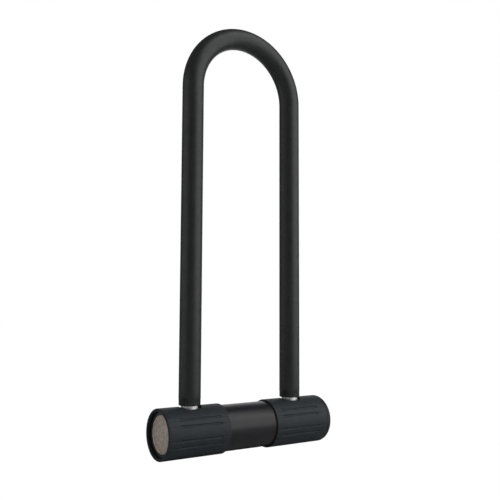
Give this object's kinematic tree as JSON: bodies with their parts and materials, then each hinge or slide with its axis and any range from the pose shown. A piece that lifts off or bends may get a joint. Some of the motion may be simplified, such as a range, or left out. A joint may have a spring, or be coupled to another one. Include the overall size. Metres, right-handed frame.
{
  "type": "bicycle u lock",
  "caption": "Shackle lock with a covered steel shackle, a round crossbar with grooved sleeves, a rotating locking bar, a disc key cylinder and a battery alarm.",
  "frame": {"origin": "under the crossbar at the middle of the lock's length: x = 0 is midway between the crossbar's two ends, y = 0 is the plane of the shackle, and z = 0 is the underside of the sleeves", "axes": "+X along the crossbar from the alarm end to the key end, +Z from the crossbar to the bend of the shackle, -Y the front, where the picture's camera stands"},
  "size_m": [0.1634, 0.0406, 0.3653],
  "materials": {
    "steel": "bright nickel-plated hardened steel",
    "vinyl": "satin black vinyl sheath",
    "coated_tube": "satin black coating",
    "sleeve_plastic": "matt charcoal moulding",
    "badge": "satin metal disc",
    "gloss_plastic": "gloss black",
    "rubber": "matt black",
    "acetal": "grey acetal",
    "brass": "turned brass",
    "zinc": "die-cast zinc",
    "board": "green solder mask",
    "epoxy": "black epoxy or insulation",
    "battery_wrap": "plain blue wrap",
    "red_plastic": "red plastic or insulation"
  },
  "bodies": {
    "crossbar": {"crossbar_tube": "coated_tube", "left_sleeve": "sleeve_plastic", "right_sleeve": "sleeve_plastic", "end_cap": "sleeve_plastic", "end_face_plate": "zinc", "end_cap_screw_front": "steel", "end_cap_screw_back": "steel", "left_foot_socket": "acetal", "right_foot_socket": "acetal", "left_wiper_ring": "rubber", "right_wiper_ring": "rubber", "bezel_ring": "gloss_plastic", "bezel_o_ring": "rubber", "badge_disc": "badge", "sounder_disc": "brass", "sounder_housing": "gloss_plastic", "circuit_board": "board", "controller_chip": "epoxy", "shock_sensor": "brass", "switch_body": "gloss_plastic", "battery": "battery_wrap", "battery_tray": "acetal", "battery_contact": "brass", "battery_spring": "steel", "red_wire": "red_plastic", "black_wire": "epoxy", "left_bar_bearing": "acetal", "right_bar_bearing": "acetal", "cylinder_housing": "zinc", "upper_cylinder_pin": "steel", "lower_cylinder_pin": "steel"},
    "shackle": {"shackle_bar": "steel", "shackle_cover": "vinyl"},
    "locking_bar": {"locking_bar": "steel", "bar_pinion": "steel", "switch_cam": "acetal"},
    "key_plug": {"plug": "brass", "plug_gear": "zinc", "plug_clip": "steel", "keyway_plate": "steel", "disc_spacer_1": "steel", "disc_spacer_2": "steel", "disc_spacer_3": "steel", "disc_spacer_4": "steel"},
    "detainer_discs": {"detainer_disc_1": "brass", "detainer_disc_2": "brass", "detainer_disc_3": "brass", "detainer_disc_4": "brass", "detainer_disc_5": "brass"},
    "sidebar": {"sidebar": "steel"},
    "switch_button": {"switch_button": "red_plastic"},
    "dust_cover": {"dust_cover": "gloss_plastic"}
  },
  "joints": [
    {"name": "shackle_lift", "type": "slide", "parent": "crossbar", "child": "shackle", "axis": [0, 0, 1], "range_m": [0, 0.06]},
    {"name": "key_turn", "type": "hinge", "parent": "crossbar", "child": "key_plug", "pos_m": [0.06705, 0, 0.0203], "axis": [1, 0, 0], "range_deg": [0, 90]},
    {"name": "bar_turn", "type": "hinge", "parent": "crossbar", "child": "locking_bar", "pos_m": [-0.00225, 0.0096, 0.0203], "axis": [1, 0, 0], "range_deg": [-180, 0]},
    {"name": "switch_press", "type": "slide", "parent": "crossbar", "child": "switch_button", "axis": [0, -1, 0], "range_m": [0, 0.0012]},
    {"name": "disc_turn", "type": "hinge", "parent": "key_plug", "child": "detainer_discs", "pos_m": [0.06835, 0, 0.0203], "axis": [1, 0, 0], "range_deg": [0, 30]},
    {"name": "sidebar_lift", "type": "slide", "parent": "key_plug", "child": "sidebar", "axis": [0, -1, 0], "range_m": [0, 0.001]},
    {"name": "dust_cover_slide", "type": "slide", "parent": "crossbar", "child": "dust_cover", "axis": [0, 0, 1], "range_m": [0, 0.0094]}
  ],
  "couplings": [
    {"joint": "bar_turn", "follows": "key_turn", "ratio": -2},
    {"joint": "switch_press", "follows": "key_turn", "m_per_rad": 0.00076394},
    {"joint": "sidebar_lift", "follows": "disc_turn", "m_per_rad": 0.0019099}
  ]
}
